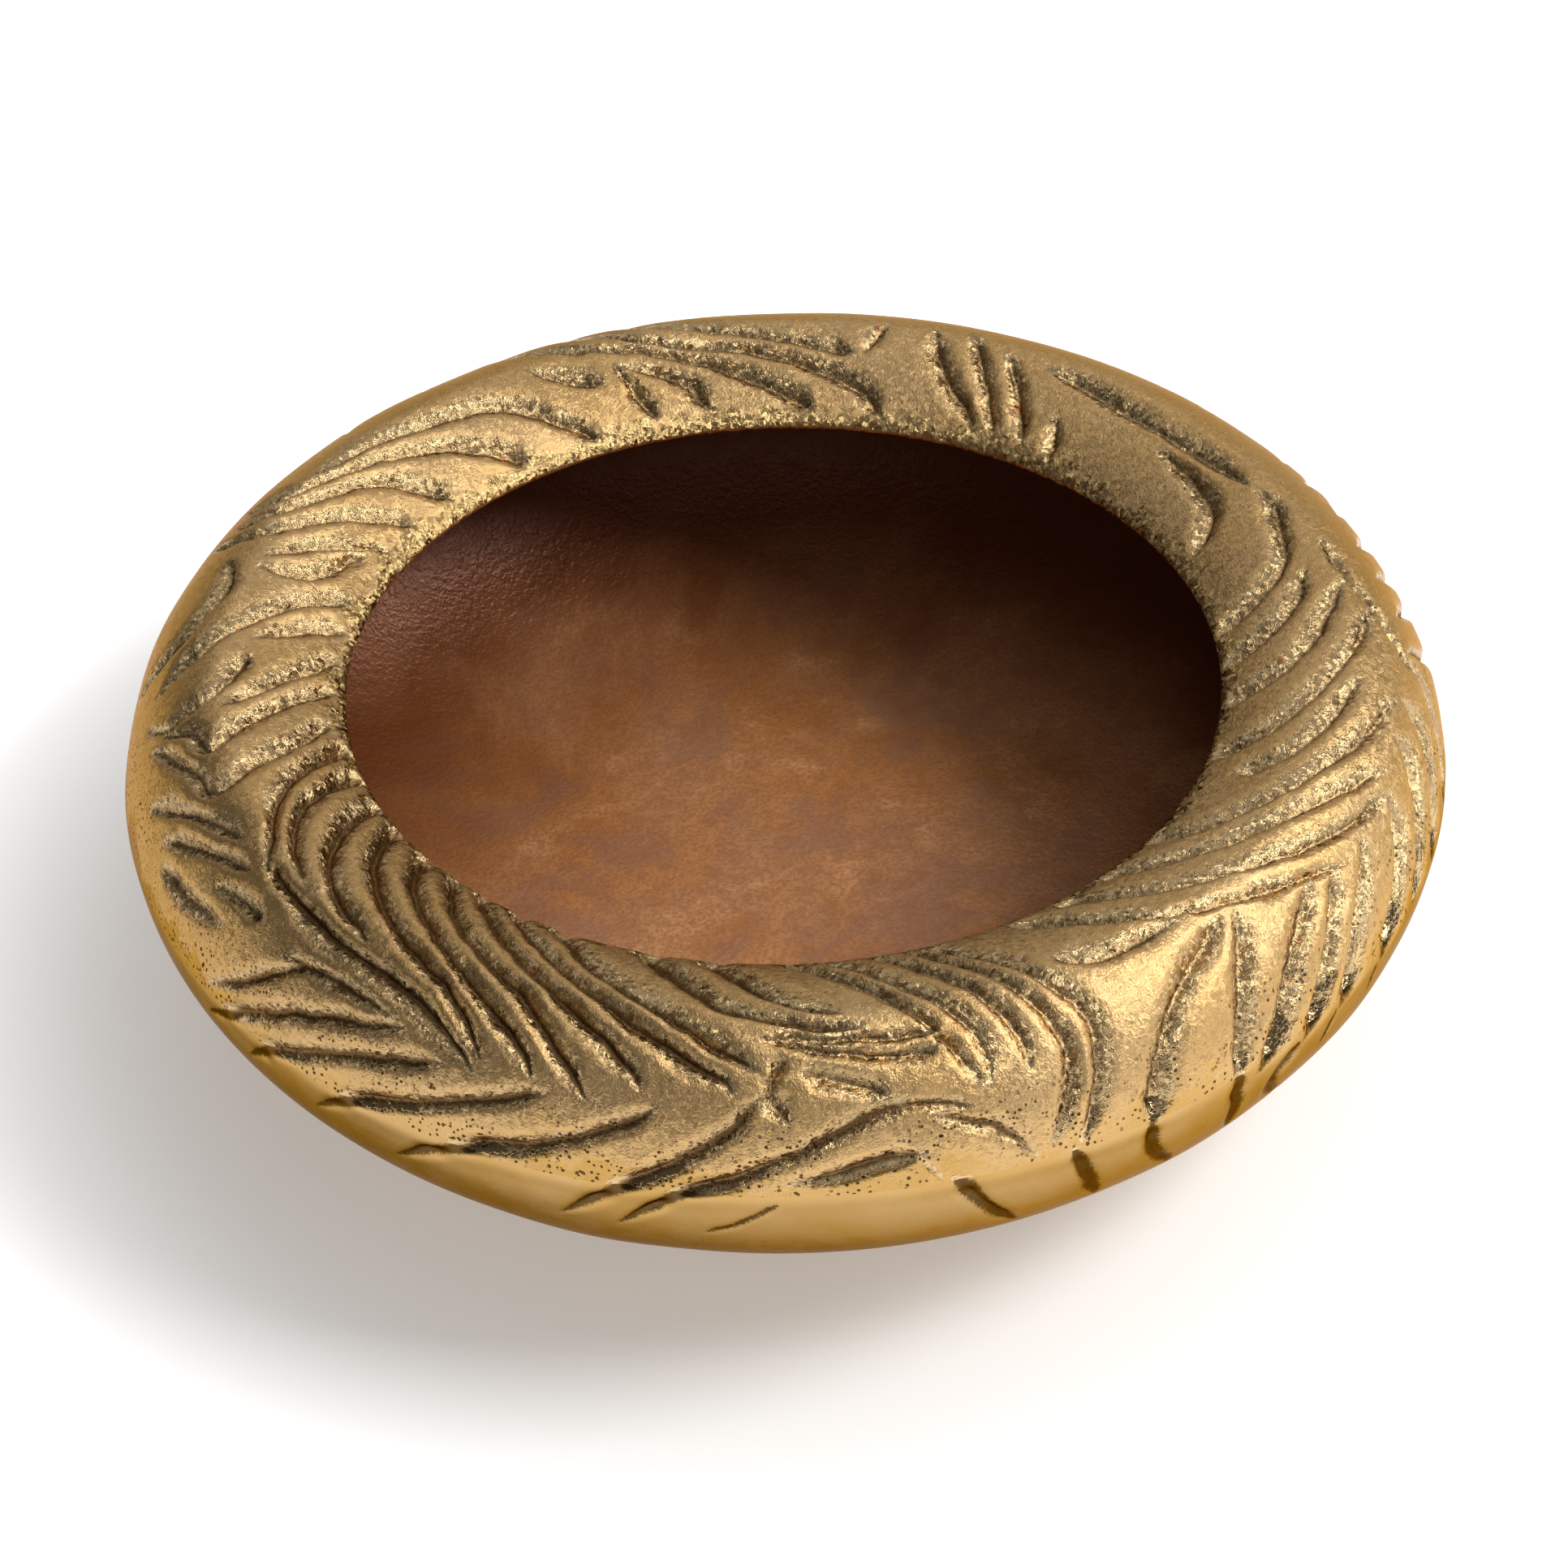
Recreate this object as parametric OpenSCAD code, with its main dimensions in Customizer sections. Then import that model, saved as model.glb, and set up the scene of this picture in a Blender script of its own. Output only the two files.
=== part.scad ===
// Round bowl with an in-curled rim, cast as two shells that are brazed together at
// the widest line, coated inside with lacquer and set on four stick-on felt pads.
// Z is up. The origin is the centre of the footprint, on the surface the pads rest on.

/* [Body] */
// Largest diameter of the bowl
body_d = 300; // [240:1:360]
// Height of the metal body, from the flat of the foot to the crown of the rim
body_h = 83; // [75:1:95]
// Height of the widest line above the flat of the foot
waist_h = 53; // [45:1:58]
// Diameter of the flat foot
foot_d = 140; // [120:1:150]
// Thickness of the cast wall
wall_t = 4.5; // [4:0.1:6]

/* [Rim] */
// Diameter of the crown, the highest circle of the rim
crown_d = 252; // [248:1:256]
// Clear diameter of the mouth
mouth_d = 197.2; // [190:0.2:200]
// Drop from the crown to where the rim's face stands upright at the mouth
lip_drop = 12.5; // [11:0.1:14]

/* [Seam] */
// Height of the spigot that locates the rim casting on the base casting
spigot_h = 3; // [2:0.5:4]
// Thickness of the spigot
spigot_t = 2.1; // [1.8:0.1:2.4]
// Depth of the V-shaped braze groove
braze_depth = 1.5; // [1:0.1:1.8]

/* [Coat] */
// Thickness of the copper-brown lacquer coat inside the bowl
coat_t = 0.4; // [0.3:0.1:0.6]

/* [Pads] */
// Diameter of a felt pad
pad_d = 20; // [16:1:24]
// Thickness of a felt pad
pad_t = 2.2; // [1.5:0.1:3]
// Thickness of the adhesive disc that holds a pad
adhesive_t = 0.3; // [0.2:0.1:0.4]
// Diameter of the circle that the pads stand on
pad_circle_d = 110; // [90:1:112]

/* [Hidden] */
$fn = 96;
PAD_COUNT = 4;
// Roundness of each arc of the section: 2 is an ellipse, lower is flatter
lip_power = 1.4;
shoulder_power = 1.78;
belly_power = 1.95;
LIP_STEPS = 16;
SHOULDER_STEPS = 20;
BELLY_STEPS = 28;
CAP_STEPS = 10;

foot_z = pad_t + adhesive_t;
waist_z = foot_z + waist_h;
crown_z = foot_z + body_h;
lip_z = crown_z - lip_drop;
body_r = body_d / 2;
crown_r = crown_d / 2;
mouth_r = mouth_d / 2;
foot_r = foot_d / 2;

// Points of an arc whose angle runs from a0 to a1: 0 is where the arc stands upright
function arc(centre, reach, power, a0, a1, steps) =
    [for (i = [0 : steps])
        let (a = a0 + (a1 - a0) * i / steps)
        centre + [reach[0] * pow(cos(a), 2 / power), reach[1] * pow(sin(a), 2 / power)]];

// Section of the bowl at depth t under its outside: from the mouth over the crown to the waist
function shoulder_line(t) = concat(
    arc([crown_r, lip_z], [mouth_r + t - crown_r, lip_drop - t], lip_power, 0, 90, LIP_STEPS),
    arc([crown_r, waist_z], [body_r - t - crown_r, body_h - waist_h - t], shoulder_power,
        90, 0, SHOULDER_STEPS));
// The same from the waist to the flat of the foot, and on to the middle of the floor
function belly_line(t) = concat(
    arc([foot_r, waist_z], [body_r - t - foot_r, t - waist_h], belly_power, 0, 90, BELLY_STEPS),
    [[0, foot_z + t]]);
function section_line(t) = concat(shoulder_line(t), belly_line(t));
function reversed(list) = [for (i = [len(list) - 1 : -1 : 0]) list[i]];

// Half-round end of the wall at the mouth, from its inner corner to its outer corner
lip_cap = [for (i = [1 : CAP_STEPS - 1])
    [mouth_r + wall_t / 2, lip_z]
        + wall_t / 2 * [cos(180 * i / CAP_STEPS), -sin(180 * i / CAP_STEPS)]];

// Half section of both castings as one wall
module wall_section() {
    polygon(concat(section_line(0), reversed(section_line(wall_t)), lip_cap));
}

// Half section of everything above the joint between the castings
module above_joint() {
    difference() {
        translate([0, waist_z])
            square([body_r + 1, body_h]);
        translate([0, waist_z - 1])
            square([body_r - wall_t + spigot_t, spigot_h + 1]);
    }
}

// Half section of the braze groove
module braze_section() {
    polygon([[body_r - braze_depth, waist_z],
             [body_r + 1, waist_z - braze_depth - 1],
             [body_r + 1, waist_z + braze_depth + 1]]);
}

module rim_casting() {
    color("goldenrod")
        rotate_extrude()
            difference() {
                intersection() {
                    wall_section();
                    above_joint();
                }
                braze_section();
            }
}

module base_casting() {
    color("darkgoldenrod")
        rotate_extrude()
            difference() {
                wall_section();
                above_joint();
                braze_section();
            }
}

module seam_braze() {
    color("khaki")
        rotate_extrude()
            intersection() {
                wall_section();
                braze_section();
            }
}

module interior_coat() {
    color("sienna")
        rotate_extrude()
            polygon(concat(section_line(wall_t), reversed(section_line(wall_t + coat_t))));
}

// Puts its children at the place of pad number i
module at_pad(i) {
    rotate([0, 0, (i + 0.5) * 360 / PAD_COUNT])
        translate([pad_circle_d / 2, 0, 0])
            children();
}

module adhesive_discs() {
    color("whitesmoke")
        for (i = [0 : PAD_COUNT - 1])
            at_pad(i)
                translate([0, 0, pad_t])
                    cylinder(h = adhesive_t, d = pad_d);
}

module felt_pad(i) {
    color("saddlebrown")
        at_pad(i)
            cylinder(h = pad_t, d = pad_d);
}

rim_casting();
base_casting();
seam_braze();
interior_coat();
adhesive_discs();
felt_pad(0);  // felt_pad_1
felt_pad(1);  // felt_pad_2
felt_pad(2);  // felt_pad_3
felt_pad(3);  // felt_pad_4
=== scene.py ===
"""Look of the brass urli bowl: two gouged castings, their braze, the lacquered inside and the felt pads."""

import math

import bpy
import numpy as np
from mathutils import Matrix, Vector


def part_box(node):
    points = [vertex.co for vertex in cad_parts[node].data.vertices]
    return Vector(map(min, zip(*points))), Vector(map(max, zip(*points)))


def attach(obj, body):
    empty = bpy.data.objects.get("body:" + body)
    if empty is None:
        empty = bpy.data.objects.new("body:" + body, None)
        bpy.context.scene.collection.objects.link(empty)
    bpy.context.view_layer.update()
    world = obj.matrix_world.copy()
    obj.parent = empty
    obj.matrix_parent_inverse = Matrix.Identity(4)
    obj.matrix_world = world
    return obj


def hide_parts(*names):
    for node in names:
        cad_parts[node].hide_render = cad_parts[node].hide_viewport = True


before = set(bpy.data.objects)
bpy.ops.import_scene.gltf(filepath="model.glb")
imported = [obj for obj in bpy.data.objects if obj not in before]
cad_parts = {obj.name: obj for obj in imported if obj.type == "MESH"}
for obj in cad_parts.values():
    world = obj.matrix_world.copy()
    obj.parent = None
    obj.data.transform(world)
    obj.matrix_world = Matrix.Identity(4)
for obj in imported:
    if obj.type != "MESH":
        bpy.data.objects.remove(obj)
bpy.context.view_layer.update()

MM = 0.001  # metres

# ---------------------------------------------------------------- what the CAD says
# Roundness of each arc of the section: 2 is an ellipse, lower is flatter.
LIP_POWER = 1.4
SHOULDER_POWER = 1.78
BELLY_POWER = 1.95
# The hidden joint of the castings, in mm.
BRAZE_DEPTH = 1.5
SPIGOT_FACE = 2.4  # from the outside of the wall to the spigot's outer face


def cad_points(node):
    """The radius and height of each vertex of a CAD node, in mm."""
    points = np.array([v.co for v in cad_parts[node].data.vertices])
    return np.hypot(points[:, 0], points[:, 1]) / MM, points[:, 2] / MM


rim_radii, rim_heights = cad_points("rim_casting")
base_radii, base_heights = cad_points("base_casting")
coat_heights = cad_points("interior_coat")[1]
BODY_R = rim_radii.max()
MOUTH_R = rim_radii.min()
CROWN_Z = rim_heights.max()
WAIST_Z = rim_heights.min()
FOOT_Z = base_heights.min()
SPIGOT_Z = base_heights.max()
LIP_Z = rim_heights[rim_radii < MOUTH_R + 0.01].max()
CROWN_R = rim_radii[rim_heights > CROWN_Z - 0.01].mean()
FOOT_R = base_radii[base_heights < FOOT_Z + 0.01].max()
WALL = coat_heights.min() - FOOT_Z
COAT = 0.4  # mm, the thickness of the interior coat

# ---------------------------------------------------------------- the gouges
# A gouge is a list of points (degrees anticlockwise from +X, mm from the lip down the outside).
BACK_GOUGES = [
    [(80, 20.5), (86, 23), (95, 28), (104, 36), (109, 47)],
    [(75, 3), (81, 12.5), (94, 22), (102, 26), (111, 37), (116, 50)],
    [(84.5, 3), (95, 15), (105.5, 25), (116, 34), (123, 48)],
    [(99, 4.5), (102.5, 14.5), (110, 23)],
    [(106.5, 4), (108.5, 14.5), (110, 25)],
    [(111.5, 17), (117, 24), (120, 29)],
    [(115, 2.5), (119.5, 11), (125, 20.5), (134, 25.5), (150, 32.5)],
    [(126, 3), (131, 12), (138, 20.5), (150, 30), (155, 38), (156.5, 47)],
    [(139, 4), (145.5, 19.5), (154, 29), (158.5, 38), (159, 44)],
    [(146.5, 4.5), (154, 20.5), (159.5, 29.5), (161.5, 40), (160.5, 50)],
    [(153, 4.5), (159, 18), (165, 29.5)],
    [(156, 8.5), (164, 16), (166.5, 30.5)],
]
LEFT_GOUGES = [
    [(164.5, 4), (169.5, 15.5), (177, 29), (183, 44), (184, 49.5)],
    [(170.5, 2.5), (174.5, 14.5), (178.5, 24.5)],
    [(176.5, 2.5), (182, 11.5), (187.5, 23), (190.5, 32.5)],
    [(180.5, 23), (187.5, 31.5), (189.5, 44), (186.5, 53.5)],
    [(183, 2.5), (190.5, 20.5), (196, 35), (192.5, 39), (189.5, 48)],
    [(190.5, 4.5), (197, 17.5), (202, 37), (197.5, 41), (192, 48), (190, 52)],
    [(165, 36), (170, 34), (175, 38.5), (178, 46), (180, 62)],
    [(210, 37), (202, 45.5), (195.5, 57)],
    [(213.5, 40.5), (205.5, 48), (200.5, 56)],
    [(202.5, 59), (207.5, 58), (215, 53)],
    [(218.5, 46), (210, 49.5)],
]
MIDRIB = [(213.5, 37.5), (225, 40.5), (235, 43), (241.5, 50), (244, 54.5)]
FLUTES = [
    [(195, 1), (201.5, 17), (208, 28), (215, 38)],
    [(200.5, 0.5), (207, 19.5), (215, 31.5), (219.5, 34.5)],
    [(207, 0.5), (214.5, 20), (222, 32), (230, 38)],
    [(212, 0), (219.5, 16.5), (231.5, 32.5), (239, 40), (244.5, 52)],
    [(219, 0), (225, 14.5), (235, 29), (245.5, 44), (249, 52.5)],
    [(224.3, 0), (234, 20), (245, 35), (254, 54)],
    [(228.5, 0), (240, 20), (250, 35), (256.5, 46), (257.5, 51)],
    [(234, 0), (241.5, 14.5), (255, 35), (264, 46), (265, 51)],
    [(240.5, 0), (250, 20), (262, 37.5), (268, 45)],
    [(252, 1), (260.5, 22.5), (266.5, 31.5), (277.5, 36)],
    [(259.5, 1), (268, 24), (275.5, 32.5)],
]
FRONT_LEAF = [
    [(267, 37), (277, 42), (283, 42.5)],
    [(268, 36.5), (283, 39)],
    [(269.5, 40.5), (268, 48), (270, 56)],
    [(270.5, 44.5), (276.5, 49), (278, 52)],
]
BARBS = [
    [(250.5, 52.5), (245, 58), (237.5, 65.5), (232.5, 71), (227, 82)],
    [(241, 53), (234, 59), (229, 64), (223.5, 71.5), (218.5, 82)],
    [(237, 49), (229, 55.5), (225, 60), (219, 69), (212.5, 80)],
    [(226.5, 45.5), (222, 54), (219, 61), (213, 70)],
    [(221.5, 50), (228, 48), (237, 49)],
    [(259.5, 50.5), (257, 56), (252.5, 62), (242.5, 71.5), (235, 85)],
    [(267.5, 47), (265.5, 55), (262, 62), (256, 72), (250, 86)],
    [(285, 55), (277.5, 53), (269, 63), (260.5, 72.5), (255, 86)],
    [(280, 54), (286, 61), (290, 72)],
    [(281, 62.5), (275, 65), (268, 69)],
    [(279.5, 62.5), (282, 72)],
]
LONG_GOUGES = [
    [(269, 1), (277.5, 22), (284.5, 47), (285, 53)],
    [(273.5, 1), (285, 37.5), (286, 53)],
    [(279.5, 2), (288.5, 37.5), (289.5, 53)],
    [(283.5, 2), (291.5, 37.5), (293, 53), (290, 69)],
    [(286, 3), (294.5, 37.5), (295.5, 53), (292.5, 71)],
]
RIGHT_GOUGES = [
    [(295, 28), (300, 32.5), (309, 33)],
    [(296, 5), (307, 29), (316.5, 38), (328, 48)],
    [(302.5, 4), (311.5, 23), (325, 39), (338, 47.5)],
    [(310, 1.5), (319, 20), (330, 34), (340.5, 45)],
    [(319, 1), (325, 17.5), (339, 35), (350, 43)],
    [(333, 10.5), (338, 23), (351, 35)],
    [(338, 1), (343, 16.5), (355, 32.5), (363, 39)],
    [(349, 0.5), (354, 18), (367, 34)],
    [(357, 0.5), (362.5, 17.5), (370, 27)],
    [(4, 0.5), (10.5, 20), (20, 27), (25, 27)],
]
CHEVRONS = [
    [(312.5, 37.5), (304, 48), (300, 62.5), (299, 73)],
    [(314, 38), (310, 54), (307.5, 72)],
    [(322.5, 43.5), (316.5, 55), (309.5, 74)],
    [(326, 45), (319.5, 61), (315, 75)],
    [(331, 46.5), (324, 61), (320, 75)],
    [(338, 45.5), (334, 59), (326.5, 73)],
    [(344.5, 43), (343, 52), (333.5, 72)],
    [(350, 43), (348.5, 53), (339.5, 73)],
    [(357, 43), (355.5, 53), (347, 73)],
]
BACK_RIGHT_GOUGES = [
    [(20, 5), (25, 15), (30, 17.5), (39, 19)],
    [(25, 27), (35, 24), (45, 24), (58, 27.5)],
    [(355, 47.5), (361, 40), (367.5, 34.5), (374, 32.5)],
    [(49.5, 3), (53, 17)],
    [(54.5, 4), (59.5, 19.5), (63, 30)],
    [(59, 4), (64, 20.5), (68, 35)],
    [(62, 5), (69, 19), (72, 34)],
    [(79.5, 20.5), (78, 27), (76.5, 34)],
]
# Marks of their own on the polished base, and the grooves that part it into lobes.
BASE_MARKS = [
    [(269, 72.5), (262, 86)],
    [(320, 72), (318, 83)],
    [(326.5, 71), (325, 81)],
]
BASE_GROOVES = [
    [(282, 70), (283.4, 74), (285.3, 83), (289, 97)],
    [(292, 70), (293.5, 80), (296, 98)],
    [(299, 70), (299.8, 82), (304, 98)],
    [(307.5, 69), (308.2, 83), (309.5, 97)],
    [(315, 72), (312.3, 82), (316, 95)],
]

FAR_SIDE = (-2, 150)  # degrees: where no list above reaches the lower half of the rim

# ---------------------------------------------------------------- the carved field
# The outside is a grid of columns round the axis and rows down the section.
COLUMNS = 1440
RIM_ROWS = 104
SEAM_ROWS = 4
MARKED_ROWS = 34
PLAIN_ROWS = 22
MARKED_END = 102  # mm down the outside: below this the base carries no marks
SEED = 7
GOUGE_DEPTH = 2.7  # mm, of the gouges above the widest line
BARB_DEPTH = 2.0  # mm, of the barbs, which run on over it
GOUGE_HALF = 4.8  # mm from a lone gouge's crease to where the surface is whole again
BARB_HALF = 3.0  # mm, the same for the barbs
DEEPER = 1.22  # strength of the flutes, the chevrons and the barbs
PATINA_SHADE_GAIN = 1.15  # how fast patina and painted shade darken a gouge with its depth
PATINA_SHADE = 0.58  # how brown a crease gets, patina with painted shade in it
FRONT_PATINA_SHADE = 1.0  # the same, for the flutes, the midrib and the barbs, with more painted shade
CHEVRON_PATINA_SHADE = 0.53  # the same, for the chevrons, with less painted shade as they lie in the light
MIDRIB_STRENGTH = 1.32
WALL_POWER = 2.1  # how steeply a gouge's walls leave its crease: 1 is a plain V
FRONT_STEEPER = 0.36  # how much steeper a gouge's front wall is than an even one, and its back wall gentler
CHEVRON_STEEPER = 0.5  # the same, for the chevrons
TIP_SHARE = 0.22  # how narrow a gouge is where it runs out, as a share of its full width
CREASE = 0.3  # mm, how sharp the root of a gouge is
NARROW = 3.0  # mm, half the width under which a ridge between two gouges is worn down
WANDER = 0.45  # mm, how far the edges of the gouges wander
FAR = 12.0  # mm, how far a gouge is felt
LINE_STEP = 0.5  # mm between the points of a gouge's line
MARK_DEPTH = 0.55  # mm, of the file marks on the base
MARK_HALF = 2.0
GROOVE_DEPTH = 1.7  # mm, of the lobes' grooves on the base
GROOVE_HALF = 4.2
SEAM_SHARE = 0.32  # how deep the carving runs over the seam, as a share of its depth elsewhere
SEAM_REACH = 4  # mm, how far either side of the widest line the carving is shallower
UPPER_END = (-1, 4)  # mm past the widest line, where the upper gouges run out
UNEVEN = 0.08  # share by which the depth of the gouges varies either way
SWAY = 0.25  # mm, how far the whole outside sways either way
GRAIN = 0.22  # mm, of the cast grain in the gouges
RIDGE_GRAIN = 0.15  # share of it on the ridges
GRAIN_FADE = 6  # mm above the widest line, where the grain starts to fade
# Cells of the random values, in degrees round and mm down.
WANDER_CELL = (1.8, 4)
UNEVEN_CELL = (3, 7)
SWAY_CELL = (9, 14)
GRAIN_CELL = (0.6, 1.2)

# The feathered gouges of the far side. A pair is the range that a value is drawn from.
HIDDEN_GROUP = (5, 8)  # how many lean the same way, the last value not counted
HIDDEN_LEAN = 9.0  # degrees from the upper end to the lower
HIDDEN_BEND = (0.35, 0.6)  # share of the lean that is reached half way down
HIDDEN_TOP = (41, 47)  # mm down the outside
HIDDEN_LOW = (69, 72)
HIDDEN_TAIL = 12  # mm, how far the tip runs on below that
HIDDEN_SWEEP = 1.3  # share of the lean that is reached at the tip
HIDDEN_PITCH = (4.6, 6.0)  # degrees from one to the next
HIDDEN_GAP = 7  # degrees added between two groups, on average

# ---------------------------------------------------------------- the pieces
FINE_STEPS = (400, 400, 400)  # steps of the three arcs of the section: lip, shoulder and belly
HIDDEN_STEPS = (4, 5, 10)  # the same, on faces that nobody sees
COAT_STEPS = (20, 24, 44)  # the same, on the coat
CAP_STEPS = 5  # the same, round the edge of the mouth
SPIGOT_R = BODY_R - SPIGOT_FACE
BRAZE_ROOT = (BODY_R - BRAZE_DEPTH, WAIST_Z)
COAT_COLUMNS = 540
FLOOR_RINGS = 34
CENTRE_R = 1.5  # mm, of the flat disc in the middle of the floor
COAT_WAVE = 0.3  # mm, of the waves in the inside floor
LONG_WAVE = 28  # mm from wave to wave
SHORT_WAVE = 9
PAD_RINGS = 9
PAD_COLUMNS = 72
PAD_CENTRE_R = 0.5  # mm, of the flat discs in the middle of a pad's faces
PAD_ROUND = 0.5  # mm, how far the side of a pad bulges
PAD_EDGE = 1.5  # mm in from the side, within which the outline wavers
PAD_WAVER = 0.02  # share of its radius that the outline loses on average
PAD_CELL = 1.5  # mm, of the cells of its random values

# ---------------------------------------------------------------- the looks


def rgb(red, green, blue):
    """A colour without transparency."""
    return (red, green, blue, 1.0)


GOLD = rgb(0.68, 0.43, 0.180)
PALE_GOLD = rgb(0.68, 0.445, 0.205)
OLIVE = rgb(0.61, 0.415, 0.18)
BASE_GOLD = rgb(0.52, 0.33, 0.135)
BASE_DEEP = rgb(0.48, 0.285, 0.09)
EDGE_GOLD = rgb(0.55, 0.40, 0.25)
# Brown of the creases: patina with painted shade in it.
PATINA_SHADE_BROWN = rgb(0.21, 0.122, 0.052)
PIT_BROWN = rgb(0.10, 0.055, 0.020)
RUST = rgb(0.42, 0.15, 0.045)
FACET = 0.95  # mm, across one facet of the crumpled brass
RIDGE_TILT = 0.24  # how far the facets lean on the ridges
FLOOR_TILT = 0.62  # the same, on the floors of the gouges
ROOT_TILT = 0.3  # share of that lean that is left in the roots
RIDGE_ROUGH = 0.34
FLOOR_ROUGH = 0.13
ROOT_ROUGH = 0.36
GLAZE = 0.6  # how much clear lacquer lies on the floors of the gouges
LIP_SHARE = 0.030  # of the way down the outside: how far the rough inner face of the lip reaches
YELLOW_SHARES = (0.36, 0.385)  # where the brass of the rim turns smooth and yellow
PIT_SHARES = (0.27, 0.34)  # where the pits of the skirt set in

COPPER = rgb(0.54, 0.25, 0.108)
COPPER_BRIGHT = rgb(0.74, 0.36, 0.15)
COPPER_DARK = rgb(0.38, 0.15, 0.060)
COPPER_ORANGE = rgb(0.55, 0.22, 0.064)
COPPER_PLUM = rgb(0.38, 0.185, 0.11)
# Painted shade of the inside walls.
WALL_SHADE_BROWN = rgb(0.15, 0.040, 0.009)
DARKEN_FROM = 0.045  # metres from the middle of the bowl, where painted shade starts to darken the floor towards the walls
DARKEN_TO = 0.138

FELT_BROWN = rgb(0.075, 0.045, 0.028)
FELT_LIGHT = rgb(0.14, 0.095, 0.065)
FILM_MILKY = rgb(0.70, 0.67, 0.58)
FILM_DULL = rgb(0.58, 0.54, 0.44)

# ---------------------------------------------------------------- the studio
FLOOR_HALF = 3.0  # metres
FLOOR_PALE = rgb(0.9, 0.9, 0.9)
WHITE = rgb(1, 1, 1)
GLOW = 0.86  # how much light the floor adds of its own, from GLOW_END metres out
GLOW_END = 0.25
GLOW_NEAR = 0.3  # the same, at the bowl
GLOW_FADE = 0.58  # metres out, where the glow starts to fade
GLOW_GONE = 0.95
GLOW_LEFT = 0.15  # share of the glow that stays beyond GLOW_GONE
ROOM_LIGHT = 0.08
BOWL_MIDDLE = (0, 0, 0.05)
# Softboxes: name, place and size in metres, power in watts and the point that each faces.
SOFTBOXES = [
    ("overhead", (0.55, 1.0, 1.5), (2.4, 3.5), 14.4, (0.55, 1.0, 0)),
    ("front", (0.3, -1.6, 1.4), (2.0, 1.2), 3.0, BOWL_MIDDLE),
    ("back", (0, 3.2, 0.9), (4.4, 1.8), 12, BOWL_MIDDLE),
    ("right", (0.97, -0.15, 1.0), (0.55, 0.55), 12.4, BOWL_MIDDLE),
]
CAMERA_ELEVATION = 38.97  # degrees, as are the roll and the field of view
CAMERA_DISTANCE = 0.9245  # metres
CAMERA_ROLL = -1.48
CAMERA_SHIFT = (-0.0005, -0.026)
FIELD_OF_VIEW = 22.0
SENSOR = 36.0  # mm
LOOK_HEIGHT = (50 + FOOT_Z) * MM  # the point the camera looks at, on the axis


# ---------------------------------------------------------------- the section
def smooth(x, low, high):
    """0 below low, 1 above high and an S-curve between."""
    t = np.clip((x - low) / (high - low), 0, 1)
    return t * t * (3 - 2 * t)


def arc(centre, reach, power, start, end, steps):
    """Points of a superellipse arc: at angle 0 the curve stands upright and at 90 it lies level."""
    angle = np.radians(np.linspace(start, end, steps + 1))
    across = centre[0] + reach[0] * np.abs(np.cos(angle)) ** (2 / power)
    up = centre[1] + reach[1] * np.abs(np.sin(angle)) ** (2 / power)
    return np.column_stack([across, up])


def lip_to_crown(depth, steps):
    """The first arc of the section, depth mm under the outside."""
    reach = (MOUTH_R + depth - CROWN_R, CROWN_Z - LIP_Z - depth)
    return arc((CROWN_R, LIP_Z), reach, LIP_POWER, 0, 90, steps)


def crown_to_waist(depth, steps):
    """The second arc, down to the widest line."""
    reach = (BODY_R - depth - CROWN_R, CROWN_Z - WAIST_Z - depth)
    return arc((CROWN_R, WAIST_Z), reach, SHOULDER_POWER, 90, 0, steps)


def waist_to_foot(depth, steps):
    """The third arc, down to the edge of the foot."""
    reach = (BODY_R - depth - FOOT_R, depth + FOOT_Z - WAIST_Z)
    return arc((FOOT_R, WAIST_Z), reach, BELLY_POWER, 0, 90, steps)


def section(depth, steps):
    """The whole section at a depth under the outside, from the lip to the edge of the foot."""
    lip, shoulder, belly = steps
    return np.vstack([lip_to_crown(depth, lip), crown_to_waist(depth, shoulder)[1:],
                      waist_to_foot(depth, belly)[1:]])


def lengths(line):
    """How far along a line each of its points lies."""
    return np.concatenate([[0], np.cumsum(np.hypot(*np.diff(line, axis=0).T))])


outside = section(0, FINE_STEPS)
outside_s = lengths(outside)
WAIST_S = outside_s[np.argmax(outside[:, 0])]
SEAM_TOP = WAIST_S - BRAZE_DEPTH
SEAM_END = WAIST_S + BRAZE_DEPTH
row_s = np.concatenate([
    np.linspace(0, SEAM_TOP, RIM_ROWS + 1),
    np.linspace(SEAM_TOP, SEAM_END, SEAM_ROWS + 1)[1:],
    np.linspace(SEAM_END, MARKED_END, MARKED_ROWS + 1)[1:],
    np.linspace(MARKED_END, outside_s[-1], PLAIN_ROWS + 1)[1:],
])
row_r = np.interp(row_s, outside_s, outside[:, 0])
row_z = np.interp(row_s, outside_s, outside[:, 1])
slope_r = np.interp(row_s, outside_s, np.gradient(outside[:, 0], outside_s))
slope_z = np.interp(row_s, outside_s, np.gradient(outside[:, 1], outside_s))
col_angle = np.arange(COLUMNS) * 360 / COLUMNS


# ---------------------------------------------------------------- carving the outside
def noise(x, y, seed, around=None):
    """Smooth random values from -1 to 1 at x, y in cells. Cells repeat in x after that many around."""
    x0, y0 = np.floor(x).astype(int), np.floor(y).astype(int)
    fx, fy = smooth(x - x0, 0, 1), smooth(y - y0, 0, 1)
    x0, y0 = x0 - x0.min() * (around is None), y0 - y0.min()
    across = around or x0.max() + 2
    grid = np.random.default_rng(seed).uniform(-1, 1, (y0.max() + 2, across))
    x1 = (x0 + 1) % across
    above = grid[y0, x0] * (1 - fx) + grid[y0, x1] * fx
    below = grid[y0 + 1, x0] * (1 - fx) + grid[y0 + 1, x1] * fx
    return above * (1 - fy) + below * fy


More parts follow.
